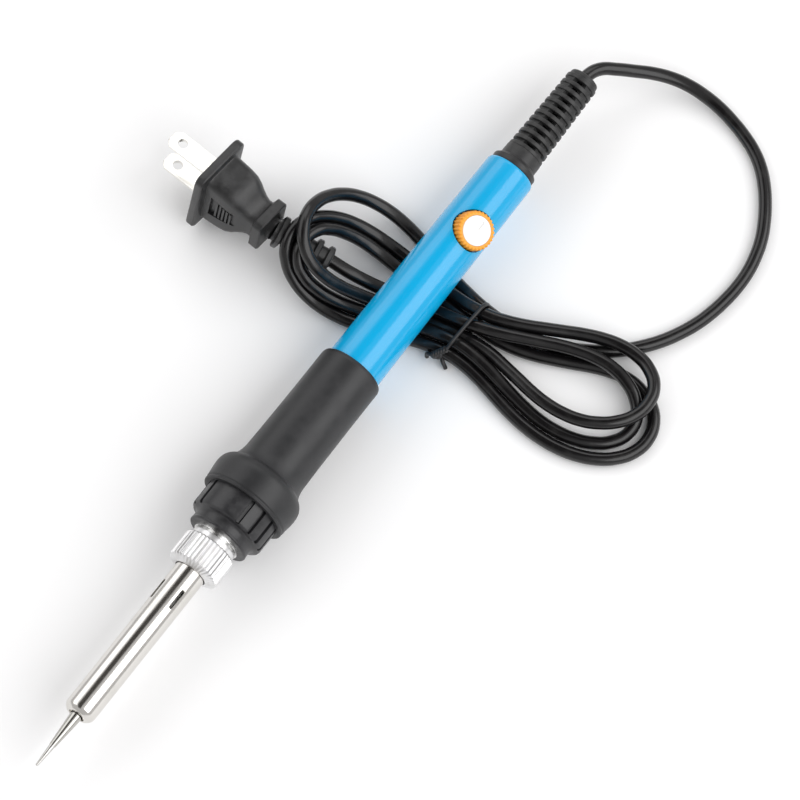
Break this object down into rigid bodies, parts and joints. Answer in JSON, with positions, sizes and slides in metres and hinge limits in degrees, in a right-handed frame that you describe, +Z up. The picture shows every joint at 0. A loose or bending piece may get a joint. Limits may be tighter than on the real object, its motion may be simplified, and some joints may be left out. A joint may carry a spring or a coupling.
{
  "type": "soldering iron",
  "caption": "Pencil soldering iron with a turning temperature dial, screw-off barrel, rubber grip, ringed cord boot and a tied hank of mains lead ending in a flat-blade plug.",
  "frame": {"origin": "on the surface the iron lies on, under the middle of its length and on its axis", "axes": "+Y from the tip to the cord end along the iron, +Z up, +X to the right seen from the tip end looking along +Y"},
  "size_m": [0.1668, 0.2891, 0.0288],
  "materials": {
    "tip_plating": "plated, tinned at the point",
    "barrel_steel": "polished stainless",
    "nut_nickel": "bright nickel, satin",
    "socket_steel": "turned steel",
    "ceramic_white": "fired ceramic",
    "lead_wire": "bare wire",
    "glass_fibre": "woven sleeve",
    "nose_black": "fine moulded texture",
    "grip_rubber": "matt",
    "handle_blue": "glossy moulded plastic",
    "knob_orange": "semi-gloss",
    "disc_white": "semi-gloss",
    "shaft_steel": "turned",
    "board_green": "solder resist",
    "pot_blue": "moulded",
    "part_black": "moulded epoxy",
    "film_red": "dipped",
    "resistor_tan": "lacquer",
    "diac_glass": "glass",
    "solder": "solder",
    "core_brown": "insulated wire",
    "clamp_grey": "moulded",
    "cord_black": "glossy jacket",
    "boot_black": "moulded, satin",
    "tie_black": "coated wire",
    "plug_black": "moulded, satin",
    "blade_nickel": "nickel plated"
  },
  "bodies": {
    "root": {"heater_socket": "socket_steel", "heater_bush": "ceramic_white", "heater_rod": "ceramic_white", "heater_leads": "lead_wire", "lead_sleeves": "glass_fibre", "nose_piece": "nose_black", "grip_sleeve": "grip_rubber", "handle_tube": "handle_blue", "potentiometer_body": "pot_blue", "circuit_board": "board_green", "triac": "part_black", "capacitor": "film_red", "resistors": "resistor_tan", "diac": "diac_glass", "solder_pads": "solder", "mains_wires": "core_brown", "cord_clamp": "clamp_grey", "cord_tail": "cord_black", "cord_boot": "boot_black", "cord_lead": "cord_black", "cord_hank": "cord_black", "cord_tie": "tie_black", "plug_body": "plug_black", "plug_boot": "plug_black", "plug_blades": "blade_nickel"},
    "barrel": {"barrel": "barrel_steel", "soldering_tip": "tip_plating"},
    "nut": {"barrel_nut": "nut_nickel"},
    "dial": {"dial_knob": "knob_orange", "dial_disc": "disc_white", "potentiometer_shaft": "shaft_steel"}
  },
  "joints": [
    {"name": "barrel_slide", "type": "slide", "parent": "root", "child": "barrel", "axis": [0, -1, 0], "range_m": [0, 0.0053]},
    {"name": "nut_spin", "type": "hinge", "parent": "barrel", "child": "nut", "pos_m": [0, -0.0535, 0.01435], "axis": [0, -1, 0], "range_deg": [0, 1728]},
    {"name": "dial_turn", "type": "hinge", "parent": "root", "child": "dial", "pos_m": [0, 0.07365, 0.01435], "axis": [0.5299, 0, 0.848], "range_deg": [-135, 135]}
  ],
  "couplings": [
    {"joint": "barrel_slide", "follows": "nut_spin", "m_per_rad": 0.00015915}
  ]
}
